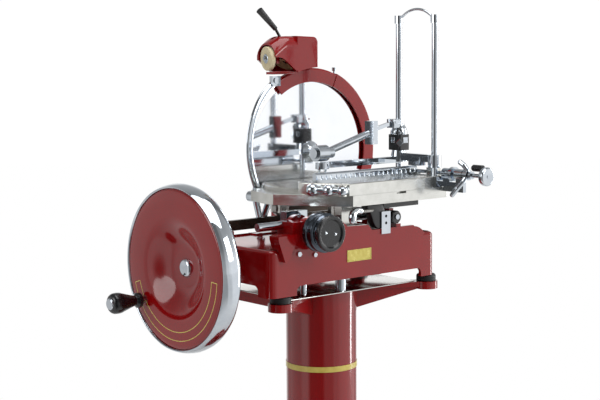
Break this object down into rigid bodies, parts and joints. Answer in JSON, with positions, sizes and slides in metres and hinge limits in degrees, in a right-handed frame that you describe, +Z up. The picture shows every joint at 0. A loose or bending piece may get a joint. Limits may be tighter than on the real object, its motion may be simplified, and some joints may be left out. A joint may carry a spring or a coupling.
{
  "type": "hand crank meat slicer",
  "caption": "Flywheel meat slicer on a pedestal: crank wheel gears drive a round blade while a sliding carriage carries the meat table, clamp and feed screw.",
  "frame": {"origin": "on the floor under the axis of the column", "axes": "+X toward the meat table and thickness knob side, +Y away from the flywheel, +Z up"},
  "size_m": [0.542, 0.836, 1.4373],
  "materials": {
    "red_enamel": "deep glossy red enamel",
    "chrome": "polished chrome",
    "polished_aluminium": "polished aluminium",
    "blade_steel": "mirror ground blade steel",
    "bright_steel": "bright machined steel",
    "dark_steel": "dark oiled steel",
    "black_grip": "turned black grip",
    "black_iron": "satin black paint",
    "brass": "polished brass",
    "bronze": "plain bronze bush",
    "rubber": "black rubber",
    "stainless": "light stainless sheet",
    "cream_stone": "cream abrasive stone",
    "tan_stone": "tan abrasive stone"
  },
  "bodies": {
    "frame": {"pedestal_foot": "red_enamel", "column": "red_enamel", "column_ring": "brass", "stand_head": "red_enamel", "rubber_feet": "rubber", "drip_tray": "stainless", "hold_down_studs": "chrome", "base_frame": "red_enamel", "blank_plate": "brass", "guide_rod": "chrome", "guide_bar": "dark_steel", "shaft_bushes": "bronze", "blade_post": "red_enamel", "gear_cover": "red_enamel", "post_bearings": "bright_steel", "ring_guard_rear": "red_enamel", "ring_guard_front": "red_enamel", "chrome_fittings": "chrome", "front_guard": "chrome", "sharpener_housing": "red_enamel", "trip_bracket": "black_iron", "trip_bar": "chrome"},
    "grinding_stone": {"grinding_stone": "cream_stone"},
    "cup_stone": {"cup_stone": "tan_stone"},
    "sharpener_lever": {"sharpener_lever": "black_grip"},
    "flywheel": {"flywheel_rim": "chrome", "flywheel_disc": "red_enamel", "main_shaft": "chrome", "crank_stud": "chrome", "main_bevel_gear": "bright_steel"},
    "crank_grip": {"crank_grip": "black_grip"},
    "crank_wheel": {"crank_wheel_gear": "bright_steel", "crank_arm": "bright_steel"},
    "cross_shaft": {"cross_bevel_gear": "bright_steel", "cross_spur_gear": "bright_steel", "cross_shaft": "bright_steel"},
    "idler": {"idler_gear": "bright_steel"},
    "blade": {"blade": "blade_steel", "blade_hub_cap": "chrome", "blade_shaft": "bright_steel"},
    "carriage": {"carriage_frame": "polished_aluminium", "rod_bearings": "polished_aluminium", "crosshead_yoke": "bright_steel"},
    "roller_front": {"roller_front": "bright_steel"},
    "roller_rear": {"roller_rear": "bright_steel"},
    "table": {"meat_table": "polished_aluminium", "spike_strip": "chrome", "tower": "chrome", "screw_bracket": "chrome"},
    "table_grip": {"table_grip": "chrome"},
    "feed_screw": {"feed_screw": "chrome"},
    "feed_grip": {"feed_grip": "black_grip"},
    "ratchet_lever": {"ratchet_lever": "chrome"},
    "clamp": {"clamp_body": "black_iron", "clamp_cap": "chrome", "presser_bar": "chrome"},
    "clamp_arm": {"clamp_arm": "chrome"},
    "thickness_knob": {"knob_body": "chrome", "knob_face": "black_grip"},
    "trip_lever": {"trip_lever": "chrome"}
  },
  "joints": [
    {"name": "flywheel_spin", "type": "hinge", "parent": "frame", "child": "flywheel", "pos_m": [0.02, 0, 0.866], "axis": [0, 1, 0], "continuous": true},
    {"name": "crank_grip_spin", "type": "hinge", "parent": "flywheel", "child": "crank_grip", "pos_m": [-0.0987, -0.49, 0.7846], "axis": [0, 1, 0], "continuous": true},
    {"name": "crank_wheel_spin", "type": "hinge", "parent": "frame", "child": "crank_wheel", "pos_m": [0.02, 0.096, 0.84], "axis": [0, 0, 1], "continuous": true},
    {"name": "cross_shaft_spin", "type": "hinge", "parent": "frame", "child": "cross_shaft", "pos_m": [-0.1, 0.096, 0.866], "axis": [1, 0, 0], "continuous": true},
    {"name": "idler_spin", "type": "hinge", "parent": "frame", "child": "idler", "pos_m": [-0.199, 0.10625, 0.9981], "axis": [1, 0, 0], "continuous": true},
    {"name": "blade_spin", "type": "hinge", "parent": "frame", "child": "blade", "pos_m": [-0.15, 0.096, 1.085], "axis": [1, 0, 0], "continuous": true},
    {"name": "carriage_slide", "type": "slide", "parent": "frame", "child": "carriage", "axis": [0, 1, 0], "range_m": [-0.095, 0.095]},
    {"name": "roller_front_spin", "type": "hinge", "parent": "carriage", "child": "roller_front", "pos_m": [-0.08, -0.06, 0.962], "axis": [1, 0, 0], "continuous": true},
    {"name": "roller_rear_spin", "type": "hinge", "parent": "carriage", "child": "roller_rear", "pos_m": [-0.08, 0.13, 0.962], "axis": [1, 0, 0], "continuous": true},
    {"name": "feed_screw_turn", "type": "hinge", "parent": "table", "child": "feed_screw", "pos_m": [0.2, 0.243, 1.042], "axis": [1, 0, 0], "range_deg": [0, 4725]},
    {"name": "table_feed", "type": "slide", "parent": "carriage", "child": "table", "axis": [1, 0, 0], "range_m": [0, 0.105]},
    {"name": "feed_grip_spin", "type": "hinge", "parent": "feed_screw", "child": "feed_grip", "pos_m": [0.28, 0.243, 1.06], "axis": [1, 0, 0], "continuous": true},
    {"name": "ratchet_lever_swing", "type": "hinge", "parent": "table", "child": "ratchet_lever", "pos_m": [0.242, 0.243, 1.042], "axis": [1, 0, 0], "range_deg": [-30, 10]},
    {"name": "table_grip_swing", "type": "hinge", "parent": "table", "child": "table_grip", "pos_m": [0.166, -0.08, 1.022], "axis": [0, 0, 1], "range_deg": [0, 25]},
    {"name": "clamp_height", "type": "slide", "parent": "table", "child": "clamp", "axis": [0, 0, 1], "range_m": [0, 0.225]},
    {"name": "clamp_arm_swing", "type": "hinge", "parent": "clamp", "child": "clamp_arm", "pos_m": [0.034, 0.205, 1.16], "axis": [1, 0, 0], "range_deg": [-25, 0]},
    {"name": "thickness_knob_turn", "type": "hinge", "parent": "frame", "child": "thickness_knob", "pos_m": [0.18, -0.157, 0.937], "axis": [1, 0, 0], "range_deg": [0, 300]},
    {"name": "sharpener_lever_swing", "type": "hinge", "parent": "frame", "child": "sharpener_lever", "pos_m": [-0.15, 0.014, 1.352], "axis": [1, 0, 0], "range_deg": [-8, 12]},
    {"name": "grinding_stone_spin", "type": "hinge", "parent": "frame", "child": "grinding_stone", "pos_m": [-0.146, -0.038, 1.316], "axis": [-0.2036, -0.9772, -0.0611], "continuous": true},
    {"name": "cup_stone_spin", "type": "hinge", "parent": "frame", "child": "cup_stone", "pos_m": [-0.138, 0.006, 1.301], "axis": [0.0999, -0.5496, -0.8294], "continuous": true},
    {"name": "trip_lever_swing", "type": "hinge", "parent": "frame", "child": "trip_lever", "pos_m": [0.147, -0.008, 0.968], "axis": [0, 1, 0], "range_deg": [-20, 5]}
  ],
  "couplings": [
    {"joint": "crank_wheel_spin", "follows": "flywheel_spin", "ratio": -0.5},
    {"joint": "cross_shaft_spin", "follows": "flywheel_spin", "ratio": 1},
    {"joint": "idler_spin", "follows": "flywheel_spin", "ratio": -1.12},
    {"joint": "blade_spin", "follows": "flywheel_spin", "ratio": 2.8},
    {"joint": "feed_screw_turn", "follows": "table_feed", "rad_per_m": 785.4}
  ]
}
